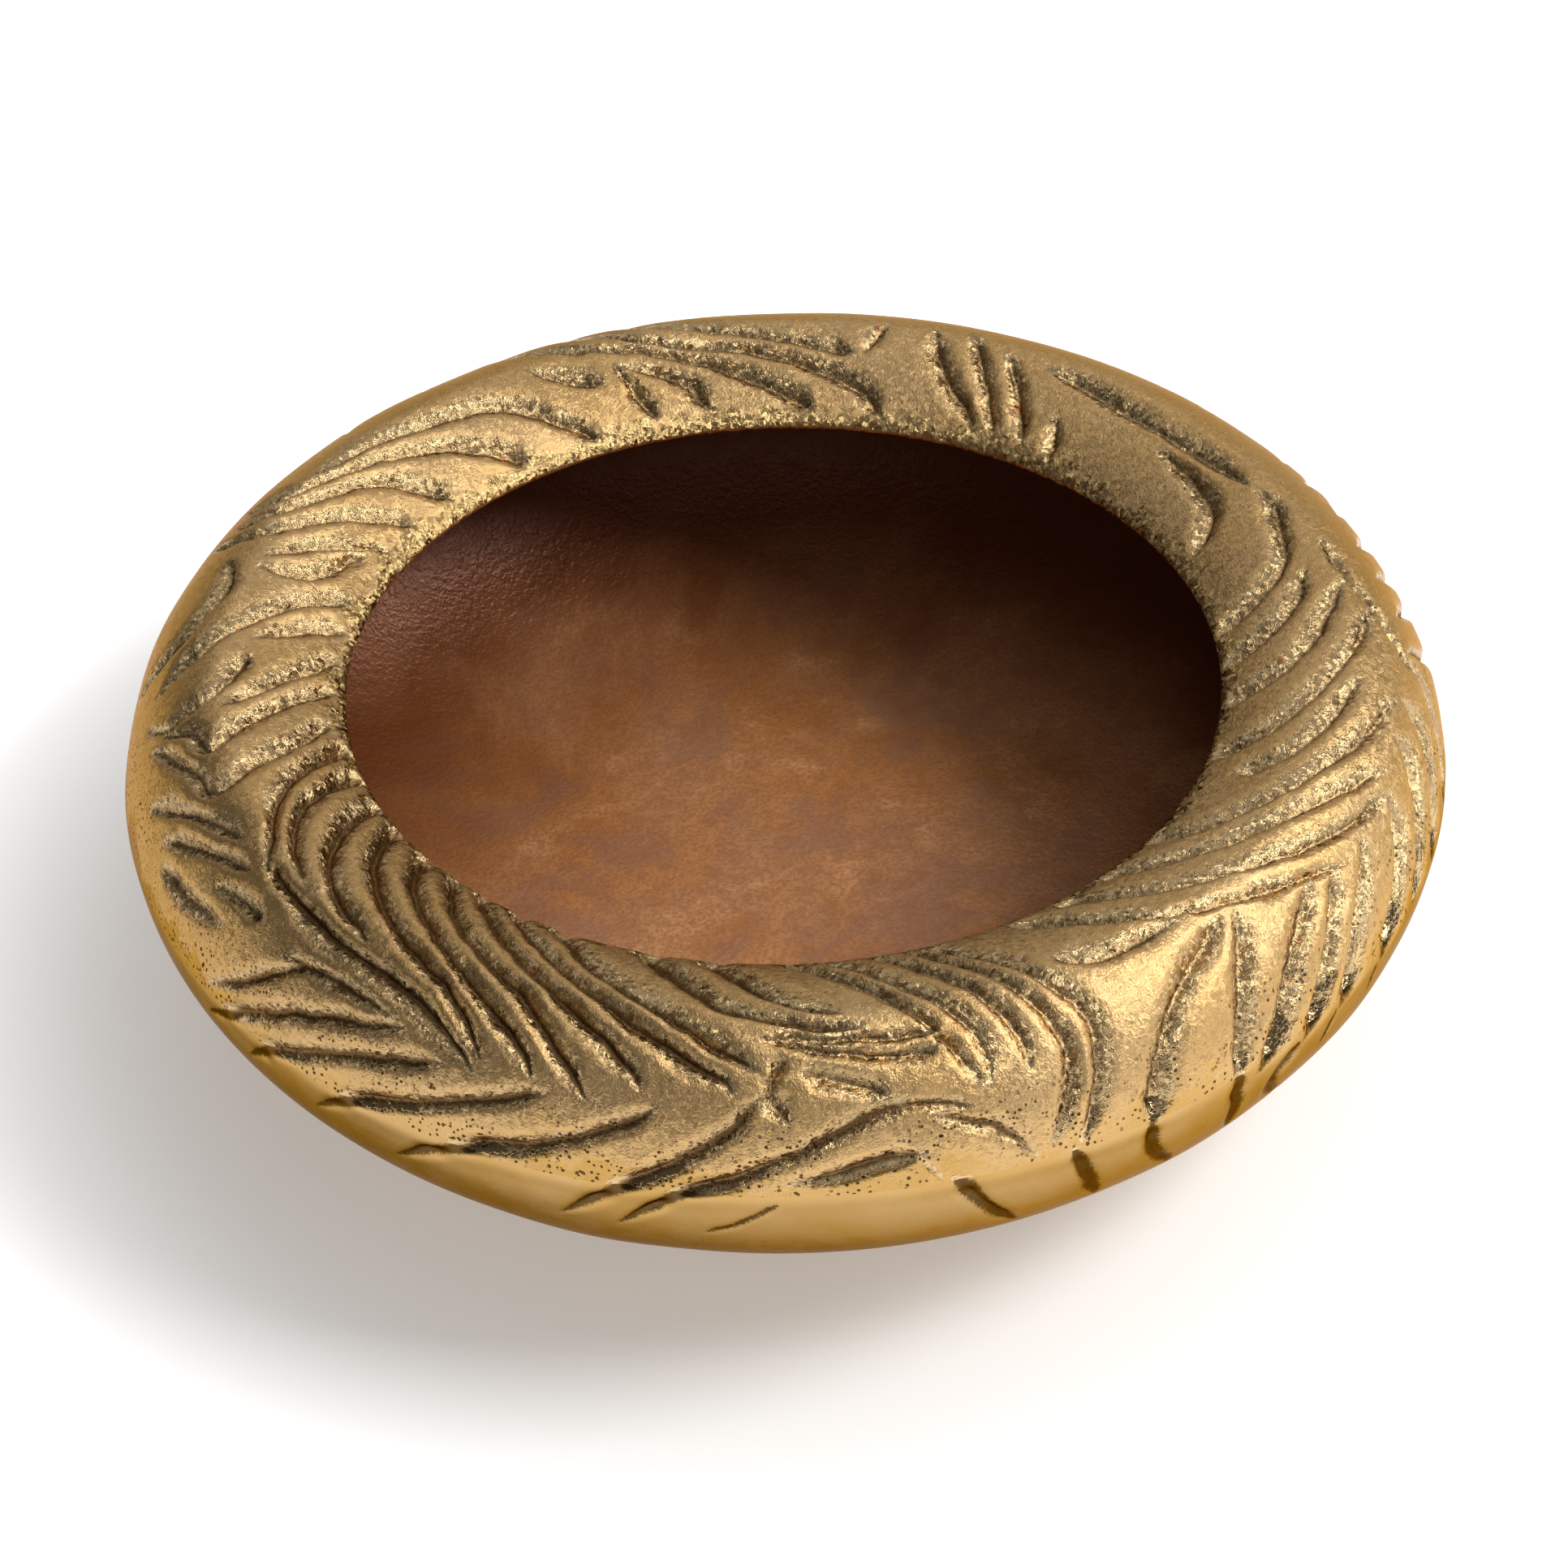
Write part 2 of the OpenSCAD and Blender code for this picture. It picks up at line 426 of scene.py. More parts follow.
def field_noise(cell, seed):
    """Smooth random values over the outside, in cells of so many degrees by mm."""
    around = round(360 / cell[0])
    x, y = np.meshgrid(col_angle / 360 * around, row_s / cell[1])
    return noise(x, y, seed, around)


def curve(points):
    """A smooth Catmull-Rom line through the points of a gouge, with a point about every LINE_STEP."""
    p = np.array(points, float)
    p = np.vstack([2 * p[0] - p[1], p, 2 * p[-1] - p[-2]])
    pieces = []
    for a, b, c, d in zip(p, p[1:], p[2:], p[3:]):
        radius = np.interp(b[1], row_s, row_r)
        span = math.hypot(math.radians(c[0] - b[0]) * radius, c[1] - b[1])
        t = np.linspace(0, 1, max(int(span / LINE_STEP), 2), endpoint=False)[:, None]
        pieces.append(0.5 * (2 * b + (c - a) * t + (2 * a - 5 * b + 4 * c - d) * t**2
                             + (3 * b - a - 3 * c + d) * t**3))
    return np.vstack(pieces + [p[-2:-1]])


class Carving:
    """Gouges over the outside: how far each point lies from its nearest two, and how strong they are."""

    def __init__(self):
        shape = (len(row_s), COLUMNS)
        self.nearest = np.full(shape, FAR)
        self.second = np.full(shape, FAR)
        self.strength = np.zeros(shape)
        self.other = np.zeros(shape)
        self.patina_shade = np.zeros(shape)
        self.wander_x = WANDER * field_noise(WANDER_CELL, SEED + 10)
        self.wander_y = WANDER * field_noise(WANDER_CELL, SEED + 11)

    def cut(self, points, strength=1.0, start=6.0, end=12.0, patina_shade=PATINA_SHADE, steeper=FRONT_STEEPER):
        """Adds one gouge, which runs in over start mm and out over end mm and is brown at its root with
        patina and painted shade.
        """
        line = curve(points)
        angle, s = np.radians(line[:, 0]), line[:, 1]
        radius = np.interp(s, row_s, row_r)
        travel = lengths(np.column_stack([angle * radius.mean(), s]))
        fade = strength * smooth(travel, -0.1 * start, start) * smooth(travel[-1] - travel, -0.05 * end, end)
        rows = np.where((row_s > s.min() - FAR) & (row_s < s.max() + FAR))[0]
        margin = FAR / radius.min()
        turn = 2 * np.pi / COLUMNS
        cols = np.arange(int((angle.min() - margin) / turn), int((angle.max() + margin) / turn) + 2)
        place = np.ix_(rows, cols % COLUMNS)
        across = cols * turn
        dx = (across[None, :, None] - angle) * (row_r[rows][:, None, None] + radius) / 2
        dx += self.wander_x[place][..., None]
        dy = (row_s[rows][:, None] + self.wander_y[place])[..., None] - s
        apart = np.hypot(dx, dy)
        # Points in front of the crease count as further off, so the front wall is the steeper one.
        behind = dx * np.cos(angle) + dy * np.sin(angle) * np.interp(s, row_s, slope_r)
        apart *= 1 - steeper * behind / (apart + CREASE)
        near = apart.argmin(axis=2)
        found = apart.min(axis=2)
        old, older = self.nearest[place], self.second[place]
        was, other = self.strength[place], self.other[place]
        closer = found < old
        next_closer = found < older
        self.second[place] = np.where(closer, old, np.minimum(older, found))
        self.other[place] = np.where(closer, was, np.where(next_closer, fade[near], other))
        self.nearest[place] = np.where(closer, found, old)
        self.patina_shade[place] = np.where(closer, patina_shade, self.patina_shade[place])
        self.strength[place] = np.where(closer, fade[near], was)

    def surface(self, half_width):
        """How deep each point is, 1 at a full crease, and how brown with patina and painted shade, right to
        the thin tips.
        """
        # Half way between two gouges their strengths even out.
        meet = 0.5 * (self.nearest / self.second) ** 4
        strength = self.strength + (self.other - self.strength) * meet
        reach = half_width * (TIP_SHARE + (1 - TIP_SHARE) * strength)
        # A lone gouge has its own width. One with a neighbour ends at the ridge half way to it.
        between = (self.nearest + self.second) / 2
        off = np.hypot(self.nearest, CREASE)
        alone = (1 - np.clip(off / reach, 0, 1)) ** WALL_POWER
        paired = (1 - np.clip(off / np.minimum(between, reach), 0, 1)) ** WALL_POWER
        cut = alone + (paired - alone) * smooth(between, 0, NARROW)
        patina_shaded = np.minimum(PATINA_SHADE_GAIN * cut, self.patina_shade) * smooth(strength, 0, TIP_SHARE)
        return strength * cut, patina_shaded


def hidden_barbs():
    """The feathered gouges of the far side, which lean one way and then the other in turn."""
    rng = np.random.default_rng(SEED)
    barbs = []
    angle, lean = FAR_SIDE[0], HIDDEN_LEAN
    while angle < FAR_SIDE[1]:
        for _ in range(rng.integers(*HIDDEN_GROUP)):
            top, low = rng.uniform(*HIDDEN_TOP), rng.uniform(*HIDDEN_LOW)
            bend = lean * rng.uniform(*HIDDEN_BEND)
            barbs.append([(angle, top), (angle + bend, (top + low) / 2), (angle + lean, low),
                          (angle + HIDDEN_SWEEP * lean, low + HIDDEN_TAIL)])
            angle += rng.uniform(*HIDDEN_PITCH)
        angle += HIDDEN_GAP - 0.5 * lean
        lean = -lean
    return barbs


def carve():
    """Depth in mm of the carving over the whole outside, and how brown with patina and painted shade each
    point is, 0 to 1.
    """
    upper = Carving()
    for points in BACK_GOUGES + LEFT_GOUGES + RIGHT_GOUGES + LONG_GOUGES + BACK_RIGHT_GOUGES:
        upper.cut(points)
    # The flutes, the midrib and the barbs get the darkest roots as painted shade, the chevrons lighter ones.
    for points in FLUTES:
        upper.cut(points, strength=DEEPER, start=3, patina_shade=FRONT_PATINA_SHADE)
    for points in FRONT_LEAF:
        upper.cut(points, start=4, end=6)
    for points in CHEVRONS:
        upper.cut(points, strength=DEEPER, start=9, end=7, patina_shade=CHEVRON_PATINA_SHADE, steeper=CHEVRON_STEEPER)
    upper.cut(MIDRIB, strength=MIDRIB_STRENGTH, patina_shade=FRONT_PATINA_SHADE)
    lower = Carving()
    for points in BARBS + hidden_barbs():
        lower.cut(points, strength=DEEPER, start=9, end=18, patina_shade=FRONT_PATINA_SHADE)
    marks = Carving()
    for points in BASE_MARKS:
        marks.cut(points, start=4, end=6)
    lobes = Carving()
    for points in BASE_GROOVES:
        lobes.cut(points, start=4, end=12)
    above = (1 - smooth(row_s - WAIST_S, *UPPER_END))[:, None]
    layers = [
        (upper, GOUGE_HALF, GOUGE_DEPTH * above, above),
        (lower, BARB_HALF, BARB_DEPTH, 1),
        (marks, MARK_HALF, MARK_DEPTH, 1),
        (lobes, GROOVE_HALF, GROOVE_DEPTH, 1),
    ]
    depth = gouged = 0
    for carving, half, deep, dark in layers:
        cut, patina_shaded = carving.surface(half)
        depth = np.maximum(depth, deep * cut)
        gouged = np.maximum(gouged, dark * patina_shaded)
    return depth, gouged


def outside_grid():
    """Points of the carved outside as rows and columns, their normals, and how gouged each is."""
    depth, gouged = carve()
    depth *= 1 - UNEVEN + UNEVEN * field_noise(UNEVEN_CELL, SEED + 12)
    rim = 1 - smooth(row_s, WAIST_S - GRAIN_FADE, WAIST_S)[:, None]
    sway = SWAY * (1 + field_noise(SWAY_CELL, SEED))
    sway = sway * smooth(row_s, 0, 6)[:, None] * smooth(outside_s[-1] - row_s, 0, 30)[:, None]
    grain = GRAIN * (0.5 + 0.5 * field_noise(GRAIN_CELL, SEED + 1))
    grain = grain * rim * (RIDGE_GRAIN + (1 - RIDGE_GRAIN) * gouged)
    seam = 1 - smooth(np.abs(row_s - WAIST_S), 0, SEAM_REACH)[:, None]
    inward = (depth + sway + grain) * (1 - (1 - SEAM_SHARE) * seam)
    normal_r, normal_z = -slope_z, slope_r
    r = row_r[:, None] - inward * normal_r[:, None]
    z = row_z[:, None] - inward * normal_z[:, None]
    angle = np.radians(col_angle)[None, :]
    points = np.stack([r * np.cos(angle), r * np.sin(angle), z], axis=-1) * MM
    wrapped = np.concatenate([points[:, -1:], points, points[:, :1]], axis=1)
    across = (wrapped[:, 2:] - wrapped[:, :-2]) / 2
    down = np.gradient(points, axis=0)
    normals = np.cross(down, across)
    normals /= np.linalg.norm(normals, axis=-1, keepdims=True)
    return points, normals, gouged


# ---------------------------------------------------------------- building the pieces
def spin(line, columns=COLUMNS):
    """Rows of points in metres made by turning a section line in mm about the axis."""
    angle = np.radians(np.arange(columns) * 360 / columns)
    ring = np.stack([np.cos(angle), np.sin(angle)], axis=-1)
    line = np.asarray(line, float)
    flat = line[:, None, :1] * ring[None]
    up = np.broadcast_to(line[:, None, 1:], (len(line), columns, 1))
    return np.concatenate([flat, up], axis=-1) * MM


def shell(name, rows, closed, carved=None):
    """A closed mesh from rows of points. closed joins the last row to the first, and else flat caps end it.

    carved is the index of the first carved row, and the normals and attributes of the carved rows.
    """
    count, columns = rows.shape[:2]
    index = np.arange(count * columns).reshape(count, columns)
    lower = np.roll(index, -1, axis=0) if closed else index[1:]
    upper = index if closed else index[:-1]
    quads = np.stack([upper, lower, np.roll(lower, -1, axis=1), np.roll(upper, -1, axis=1)], axis=-1)
    faces = quads.reshape(-1, 4).tolist()
    if not closed:
        faces += [index[0].tolist(), index[-1][::-1].tolist()]
    mesh = bpy.data.meshes.new(name)
    mesh.from_pydata(rows.reshape(-1, 3).tolist(), [], faces)
    mesh.shade_smooth()
    if carved:
        first, normals, attributes = carved
        span = slice(first, first + len(normals))
        for key, values in attributes.items():
            whole = np.zeros((count, columns), np.float32)
            whole[span] = values
            mesh.attributes.new(key, "FLOAT", "POINT").data.foreach_set("value", whole.ravel())
        all_normals = np.zeros((count, columns, 3))
        all_normals[span] = normals
        mesh.normals_split_custom_set_from_vertices(all_normals.reshape(-1, 3).tolist())
    piece = bpy.data.objects.new(name, mesh)
    bpy.context.scene.collection.objects.link(piece)
    return piece


def inner_wall():
    """The inside of the wall, from the lip down to the top of the spigot, and from there to the foot."""
    line = section(WALL, HIDDEN_STEPS)
    crown = HIDDEN_STEPS[0]
    waist = crown + HIDDEN_STEPS[1]
    shoulder = line[crown:waist + 1]
    edge = (np.interp(-SPIGOT_Z, -shoulder[:, 1], shoulder[:, 0]), SPIGOT_Z)
    return np.vstack([line[:waist][line[:waist, 1] > SPIGOT_Z], edge]), np.vstack([edge, line[waist:]])


def lip_cap(edge_r):
    """Rows round the half-round end of the wall at the mouth, to an outer corner at edge_r in each column."""
    angle = np.radians(np.linspace(0, 180, CAP_STEPS + 1))[1:-1]
    middle = MOUTH_R + WALL / 2
    rows = spin(np.column_stack([middle + WALL / 2 * np.cos(angle), LIP_Z - WALL / 2 * np.sin(angle)]))
    share = (1 - np.cos(angle))[:, None, None] / 2
    rows[..., :2] *= 1 + share * (edge_r / MOUTH_R - 1)[None, :, None]
    return rows


def castings():
    """The two castings and the braze ring between them, cut from one carved outside."""
    points, normals, gouged = outside_grid()
    down = np.broadcast_to(row_s[:, None] / outside_s[-1], gouged.shape)
    top, low = RIM_ROWS, RIM_ROWS + SEAM_ROWS

    def carved(first, rows):
        """What shell needs to know of the carved rows of a piece."""
        return first, normals[rows], {"gouged": gouged[rows], "down": down[rows]}

    above, below = inner_wall()
    joint = [BRAZE_ROOT, (SPIGOT_R, WAIST_Z), (SPIGOT_R, SPIGOT_Z)]
    cap = lip_cap(np.hypot(points[0, :, 0], points[0, :, 1]) / MM)
    on_rim = slice(0, top + 1)
    rim_rows = np.concatenate([points[on_rim], spin(np.vstack([joint, above[::-1]])), cap])
    rim = shell("rim_visual", rim_rows, closed=True, carved=carved(0, on_rim))
    on_seam = slice(top, low + 1)
    seam_rows = np.concatenate([points[on_seam], spin([BRAZE_ROOT])])
    seam = shell("braze_visual", seam_rows, closed=True, carved=carved(0, on_seam))
    on_base = slice(low, None)
    hidden = np.vstack([below[::-1], joint[::-1]])
    base_rows = np.concatenate([spin(hidden), points[on_base]])
    base = shell("base_visual", base_rows, closed=False, carved=carved(len(hidden), on_base))
    return rim, seam, base


def coat():
    """The lacquered inside: a thin closed skin whose face waves a little, as on a cast floor."""
    face = section(WALL + COAT, COAT_STEPS)
    floor_r = np.linspace(FOOT_R, CENTRE_R, FLOOR_RINGS + 1)[1:]
    face = np.vstack([face, np.column_stack([floor_r, np.full(FLOOR_RINGS, face[-1, 1])])])
    back = np.vstack([section(WALL, HIDDEN_STEPS), (CENTRE_R, FOOT_Z + WALL)])
    rows = spin(face, COAT_COLUMNS)
    x, y = rows[..., 0] / MM, rows[..., 1] / MM
    wave = 0.5 * noise(x / LONG_WAVE, y / LONG_WAVE, SEED + 2)
    wave = wave + 0.25 * noise(x / SHORT_WAVE, y / SHORT_WAVE, SEED + 3)
    below_lip = smooth(LIP_Z - face[:, 1], 0, 12)[:, None]
    rows[..., 2] += COAT_WAVE * (wave + 0.75) * below_lip * MM
    return shell("coat_visual", np.concatenate([rows[::-1], spin(back, COAT_COLUMNS)]), closed=False)


def felt_pad(node):
    """A pressed felt disc with a rounded side, whose outline wavers a little."""
    low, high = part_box(node)
    middle = (low + high) / 2
    radius = (high.x - low.x) / 2 / MM
    thick = (high.z - low.z) / MM
    edge = np.radians(np.linspace(-70, 70, 7))
    side = np.column_stack([radius - PAD_ROUND + PAD_ROUND * np.cos(edge), thick / 2 * (1 + np.sin(edge))])
    rings = np.linspace(PAD_CENTRE_R, side[0, 0], PAD_RINGS)[:-1]
    under = np.column_stack([rings, np.zeros(PAD_RINGS - 1)])
    top = np.column_stack([under[::-1, 0], np.full(PAD_RINGS - 1, thick)])
    line = np.vstack([under, side, top])[::-1]
    rows = spin(line, PAD_COLUMNS)
    x, y = rows[..., 0] / MM, rows[..., 1] / MM
    shrink = 1 - PAD_WAVER * (1 + noise(x / PAD_CELL, y / PAD_CELL, SEED + 4))
    rows[..., :2] *= np.where(np.hypot(x, y) > radius - PAD_EDGE, shrink, 1)[..., None]
    rows += np.array([middle.x, middle.y, low.z])
    return shell(node + "_visual", rows, closed=False)


# ---------------------------------------------------------------- materials
def add(tree, kind, inputs=None, **settings):
    """A new node with its settings, and its inputs set to values or joined to sockets."""
    made = tree.nodes.new(kind)
    for key, value in settings.items():
        setattr(made, key, value)
    for key, value in (inputs or {}).items():
        if isinstance(value, bpy.types.NodeSocket):
            tree.links.new(value, made.inputs[key])
        else:
            made.inputs[key].default_value = value
    return made


class Look:
    """A material being built on object coordinates, with short names for the nodes it uses."""

    def __init__(self, name):
        self.material = bpy.data.materials.new(name)
        self.material.use_nodes = True
        self.tree = self.material.node_tree
        self.tree.nodes.clear()
        self.place = self.node("ShaderNodeTexCoord").outputs["Object"]

    def node(self, kind, inputs=None, **settings):
        """A new node of this material."""
        return add(self.tree, kind, inputs, **settings)

    def noise(self, size_mm, detail=2.0, roughness=0.5, distortion=0.0):
        """Cloudy values from 0 to 1 with features about size_mm across."""
        return self.node("ShaderNodeTexNoise", {
            "Vector": self.place, "Scale": 1 / (size_mm * MM), "Detail": detail,
            "Roughness": roughness, "Distortion": distortion}).outputs["Fac"]

    def cells(self, size_mm):
        """Random points about size_mm apart: the distance to the nearest, and its own random colour."""
        return self.node("ShaderNodeTexVoronoi", {"Vector": self.place, "Scale": 1 / (size_mm * MM)}).outputs

    def away(self):
        """Metres from the middle of the bowl."""
        return self.node("ShaderNodeVectorMath", {0: self.place}, operation="LENGTH").outputs["Value"]

    def ramp(self, value, low, high, start=0.0, end=1.0):
        """value taken from the range low..high to start..end, and held there outside it."""
        return self.node("ShaderNodeMapRange", {
            "Value": value, "From Min": low, "From Max": high, "To Min": start, "To Max": end},
            interpolation_type="SMOOTHSTEP").outputs["Result"]

    def math(self, operation, a, b):
        """Two values taken together."""
        return self.node("ShaderNodeMath", {0: a, 1: b}, operation=operation).outputs[0]

    def shaken(self, value, cloud, amount):
        """value raised or lowered by up to amount, as a cloudy noise goes."""
        return self.math("ADD", value, self.ramp(cloud, 0.3, 0.7, -amount, amount))

    def blend(self, share, first, second):
        """Colour first turning into second as share goes from 0 to 1."""
        return self.node("ShaderNodeMix", {"Factor": share, 6: first, 7: second}, data_type="RGBA").outputs[2]

    def facets(self, size_mm, tilt):
        """Normals of flat facets about size_mm across, each leaning its own way by up to half of tilt."""
        lean = self.vector("SUBTRACT", self.cells(size_mm)["Color"], (0.5, 0.5, 0.5))
        lean = self.node("ShaderNodeVectorMath", {0: lean, "Scale": tilt}, operation="SCALE").outputs[0]
        flat = self.node("ShaderNodeNewGeometry").outputs["Normal"]
        return self.vector("NORMALIZE", self.vector("ADD", flat, lean))

    def vector(self, operation, *values):
        """One vector from others."""
        return self.node("ShaderNodeVectorMath", dict(enumerate(values)), operation=operation).outputs[0]

    def attribute(self, name):
        """A value that the mesh carries at each of its points."""
        return self.node("ShaderNodeAttribute", attribute_name=name).outputs["Fac"]

    def bump(self, height, size_mm, normal=None):
        """Tilts the surface as if height, from 0 to 1, stood size_mm proud of it."""
        inputs = {"Height": height, "Distance": size_mm * MM, "Strength": 1.0}
        if normal is not None:
            inputs["Normal"] = normal
        return self.node("ShaderNodeBump", inputs).outputs["Normal"]

    def finish(self, **inputs):
        """Joins a Principled shader with these inputs to the output."""
        sockets = {name.replace("_", " "): value for name, value in inputs.items()}
        shader = self.node("ShaderNodeBsdfPrincipled", sockets)
        self.node("ShaderNodeOutputMaterial", {"Surface": shader.outputs[0]})
        return self.material


def gouged_brass():
    """Sand-cast brass: satin ridges, crumpled lacquered floors and roots in the gouges dulled brown by patina
    and painted shade.

    Its skirt is pitted, and smooth and yellow towards the widest line.
    """
    look = Look("gouged_brass")
    gouged = look.attribute("gouged")
    down = look.attribute("down")
    fine = look.noise(0.5, detail=3, roughness=0.65)
    foil = look.noise(1.15, detail=3, roughness=0.6, distortion=0.4)

    # Where each kind of surface lies.
    chatter = look.shaken(gouged, foil, 0.09)
    floor_mask = look.ramp(chatter, 0.10, 0.30)
    root_mask = look.ramp(chatter, 0.40, 0.82)
    lip_mask = look.ramp(look.shaken(down, look.noise(7), 0.012), LIP_SHARE, 0.6 * LIP_SHARE)
    smooth_mask = look.ramp(look.shaken(down, look.noise(8, detail=3), 0.02), *YELLOW_SHARES)
    coarse = look.math("MAXIMUM", floor_mask, lip_mask)
    pitted = look.math("MULTIPLY", look.ramp(look.noise(11), 0.62, 0.46), look.ramp(down, *PIT_SHARES))
    pits = look.shaken(look.cells(1.4)["Distance"], foil, 0.1)
    pits = look.math("MULTIPLY", look.ramp(pits, 0.28, 0.20), pitted)

    # Their colours.
    clouds = look.ramp(look.noise(24, detail=3), 0.35, 0.65)
    colour = look.blend(clouds, GOLD, PALE_GOLD)
    colour = look.blend(smooth_mask, colour, look.blend(clouds, BASE_DEEP, BASE_GOLD))
    colour = look.blend(coarse, colour, OLIVE)
    # The roots of the gouges turn brown: patina with painted shade in it.
    colour = look.blend(root_mask, colour, PATINA_SHADE_BROWN)
    stains = look.math("MULTIPLY", floor_mask, look.ramp(look.noise(7), 0.68, 0.76))
    colour = look.blend(stains, colour, RUST)
    colour = look.blend(pits, colour, PIT_BROWN)

    # Their gloss.
    rough = look.ramp(coarse, 0, 1, RIDGE_ROUGH, FLOOR_ROUGH)
    polish = look.math("MULTIPLY", smooth_mask, look.ramp(coarse, 0, 1, 0.08, 0.0))
    rough = look.shaken(look.math("SUBTRACT", rough, polish), fine, 0.04)
    rough = look.math("MAXIMUM", rough, look.ramp(root_mask, 0, 1, 0.0, ROOT_ROUGH))
    glaze = look.math("MULTIPLY", floor_mask, look.ramp(root_mask, 0, 1, GLAZE, 0.0))

    # Their relief.
    tilt = look.ramp(coarse, 0, 1, RIDGE_TILT, FLOOR_TILT)
    tilt = look.math("MULTIPLY", tilt, look.ramp(smooth_mask, 0, 1, 1.0, 0.1))
    tilt = look.math("MULTIPLY", tilt, look.ramp(root_mask, 0, 1, 1.0, ROOT_TILT))
    normal = look.facets(FACET, tilt)
    crumple = look.math("MULTIPLY", foil, look.ramp(coarse, 0, 1, 0.6, 1.0))
    normal = look.bump(crumple, 0.22, normal)
    grain = look.math("MULTIPLY", fine, look.ramp(smooth_mask, 0, 1, 1.0, 0.25))
    normal = look.bump(grain, 0.22, normal)
    normal = look.bump(look.math("SUBTRACT", 1.0, pits), 0.3, normal)
    return look.finish(Base_Color=colour, Metallic=1.0, Roughness=rough, Normal=normal,
                       Specular_Tint=EDGE_GOLD, Coat_Weight=glaze, Coat_Roughness=0.1,
                       Coat_IOR=1.8, Coat_Normal=normal)


def polished_brass():
    """The base: smooth polished brass with faint clouds and waves, and dark roots in its marks."""
    look = Look("polished_brass")
    gouged = look.attribute("gouged")
    clouds = look.ramp(look.noise(20, detail=4), 0.35, 0.65)
    fine = look.noise(0.7, detail=3, roughness=0.6)
    # The roots of the marks turn dark brown: patina with painted shade in it.
    roots = look.ramp(look.shaken(gouged, fine, 0.1), 0.2, 0.55, 0.0, 0.95)
    colour = look.blend(roots, look.blend(clouds, BASE_DEEP, BASE_GOLD), PIT_BROWN)
    rough = look.ramp(look.noise(5, detail=4), 0.3, 0.7, 0.26, 0.32)
    normal = look.bump(look.noise(7, detail=1), 0.12)
    normal = look.bump(fine, 0.018, normal)
    return look.finish(Base_Color=colour, Metallic=1.0, Roughness=rough, Normal=normal,
                       Specular_Tint=EDGE_GOLD)


def copper_lacquer():
    """The inside: copper-brown lacquer with clouded patina, specks and a soft orange-peel sheen, and painted
    shade darkening it towards the walls.
    """
    look = Look("copper_lacquer")
    clouds = look.noise(55, detail=4, roughness=0.55, distortion=0.5)
    blotches = look.noise(22, detail=5, roughness=0.65, distortion=0.3)
    mottle = look.noise(6, detail=4, roughness=0.65)
    specks = look.noise(0.9, detail=2)
    colour = look.blend(look.ramp(clouds, 0.38, 0.62), COPPER, COPPER_ORANGE)
    colour = look.blend(look.ramp(blotches, 0.50, 0.62, 0.0, 0.7), colour, COPPER_PLUM)
    colour = look.blend(look.ramp(blotches, 0.46, 0.36, 0.0, 0.6), colour, COPPER_BRIGHT)
    colour = look.blend(look.ramp(mottle, 0.46, 0.60, 0.0, 0.4), colour, COPPER_DARK)
    colour = look.blend(look.ramp(specks, 0.42, 0.62, 0.0, 0.6), colour, COPPER_DARK)
    # Painted shade: the lacquer darkens towards the walls.
    away = look.shaken(look.away(), clouds, 0.015)
    colour = look.blend(look.ramp(away, DARKEN_FROM, DARKEN_TO), colour, WALL_SHADE_BROWN)
    rough = look.ramp(mottle, 0.3, 0.7, 0.28, 0.38)
    normal = look.bump(look.noise(1.8, detail=3), 0.2)
    normal = look.bump(specks, 0.08, normal)
    return look.finish(Base_Color=colour, Metallic=0.15, Roughness=rough, Normal=normal,
                       Specular_IOR_Level=0.2)


def felt():
    """Pressed wool felt: matted fibres that catch a little light."""
    look = Look("felt")
    fibres = look.noise(0.5, detail=4, roughness=0.7, distortion=2.0)
    colour = look.blend(look.ramp(fibres, 0.4, 0.65), FELT_BROWN, FELT_LIGHT)
    normal = look.bump(fibres, 0.2)
    return look.finish(Base_Color=colour, Roughness=0.95, Normal=normal)


def adhesive():
    """Pressure-sensitive film: milky and slightly rippled."""
    look = Look("adhesive")
    ripple = look.noise(3)
    colour = look.blend(ripple, FILM_MILKY, FILM_DULL)
    return look.finish(Base_Color=colour, Roughness=0.4, Normal=look.bump(ripple, 0.03))


# ---------------------------------------------------------------- dressing and the stage
def dress(piece, material, slot, *nodes):
    """Gives a piece its material, hides the CAD nodes that it stands for and puts it under the root body."""
    piece.data.materials.append(material)
    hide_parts(*nodes)
    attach(piece, "root")


def floor():
    """A plain pale floor that glows towards white some way from the bowl, and fades again far out."""
    half = FLOOR_HALF
    corners = [(-half, -half, 0), (half, -half, 0), (half, half, 0), (-half, half, 0)]
    mesh = bpy.data.meshes.new("floor")
    mesh.from_pydata(corners, [], [(0, 1, 2, 3)])
    piece = bpy.data.objects.new("floor", mesh)
    bpy.context.scene.collection.objects.link(piece)
    look = Look("floor")
    rise = look.ramp(look.away(), BODY_R * MM, GLOW_END, GLOW_NEAR, GLOW)
    fall = look.ramp(look.away(), GLOW_FADE, GLOW_GONE, 1.0, GLOW_LEFT)
    piece.data.materials.append(look.finish(
        Base_Color=FLOOR_PALE, Roughness=0.9, Emission_Color=WHITE,
        Emission_Strength=look.math("MULTIPLY", rise, fall)))


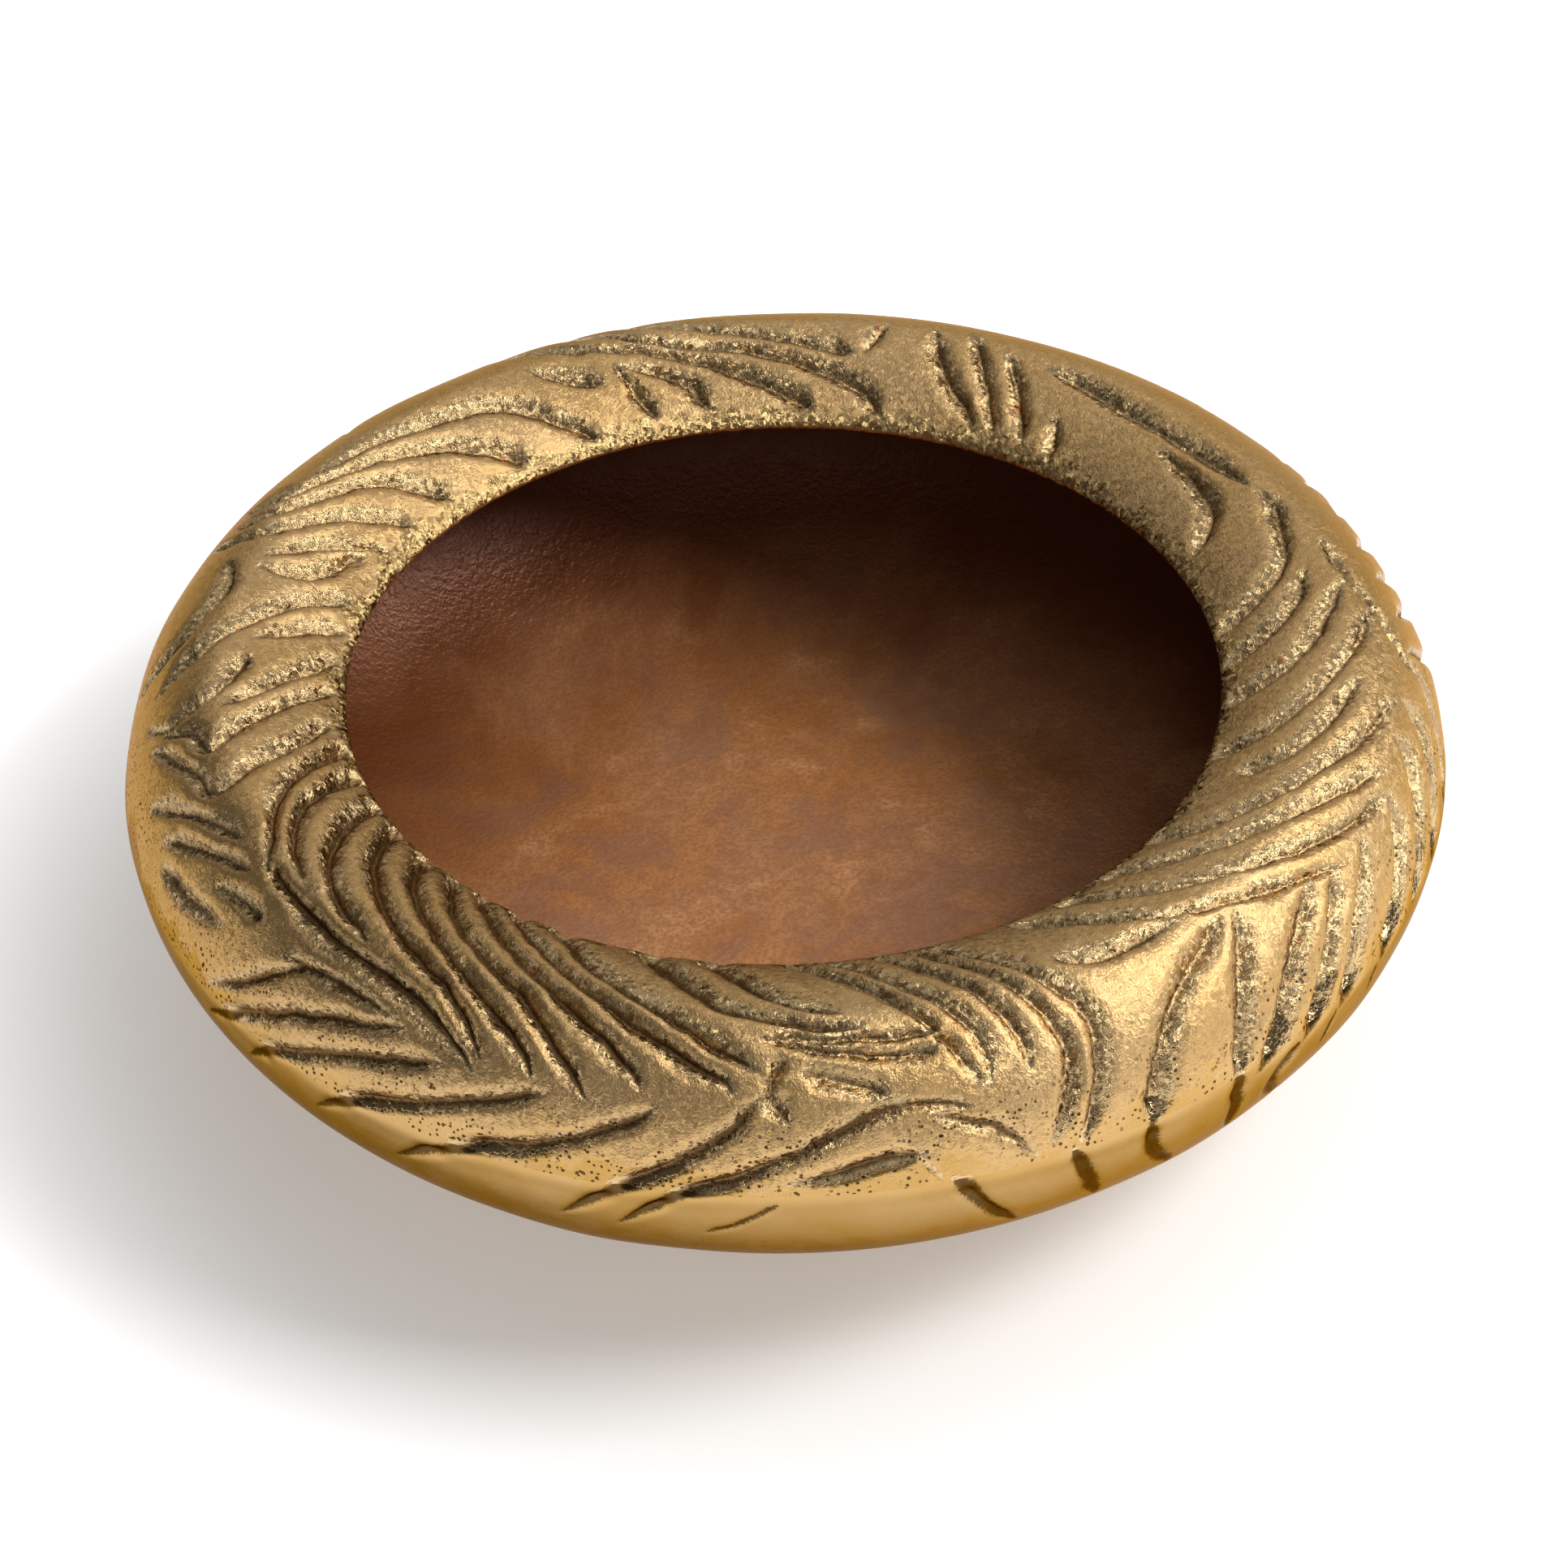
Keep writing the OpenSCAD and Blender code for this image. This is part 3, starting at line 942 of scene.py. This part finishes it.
def softbox(name, place, size, power, aim):
    """An area light of size (across, up) at place, pointing at aim."""
    lamp = bpy.data.lights.new(name, "AREA")
    lamp.shape = "RECTANGLE"
    lamp.size, lamp.size_y = size
    lamp.energy = power
    holder = bpy.data.objects.new(name, lamp)
    holder.location = place
    way = Vector(aim) - Vector(place)
    holder.rotation_euler = way.to_track_quat("-Z", "Y").to_euler()
    bpy.context.scene.collection.objects.link(holder)


def studio():
    """Soft light from above, the front and the back and a small strong box on the right, in a dim room."""
    world = bpy.data.worlds.new("room")
    world.use_nodes = True
    background = world.node_tree.nodes["Background"]
    background.inputs["Color"].default_value = WHITE
    background.inputs["Strength"].default_value = ROOM_LIGHT
    bpy.context.scene.world = world
    for box in SOFTBOXES:
        softbox(*box)
    bpy.context.scene.view_settings.view_transform = "Standard"


def camera():
    """The camera, at the height and turn the bowl was seen from."""
    data = bpy.data.cameras.new("camera")
    data.sensor_width = SENSOR
    data.lens = SENSOR / 2 / math.tan(math.radians(FIELD_OF_VIEW / 2))
    data.shift_x, data.shift_y = CAMERA_SHIFT
    data.clip_start = 0.01
    holder = bpy.data.objects.new("camera", data)
    tilt = math.radians(90 - CAMERA_ELEVATION)
    holder.location = (0, -CAMERA_DISTANCE * math.sin(tilt), LOOK_HEIGHT + CAMERA_DISTANCE * math.cos(tilt))
    turn = Matrix.Rotation(tilt, 4, "X") @ Matrix.Rotation(math.radians(CAMERA_ROLL), 4, "Z")
    holder.rotation_euler = turn.to_euler()
    bpy.context.scene.collection.objects.link(holder)
    bpy.context.scene.camera = holder


# ---------------------------------------------------------------- the whole scene
rim, seam, base = castings()
dress(rim, gouged_brass(), "rim_brass", "rim_casting")
dress(seam, polished_brass(), "braze_brass", "seam_braze")
dress(base, polished_brass(), "base_brass", "base_casting")
dress(coat(), copper_lacquer(), "copper_lacquer", "interior_coat")
felt_look = felt()
for pad in sorted(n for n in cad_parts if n.startswith("felt_pad")):
    piece = felt_pad(pad)
    dress(piece, felt_look, "felt", pad)
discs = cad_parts["adhesive_discs"]
discs.data.materials.clear()
discs.data.materials.append(adhesive())

floor()
studio()
camera()
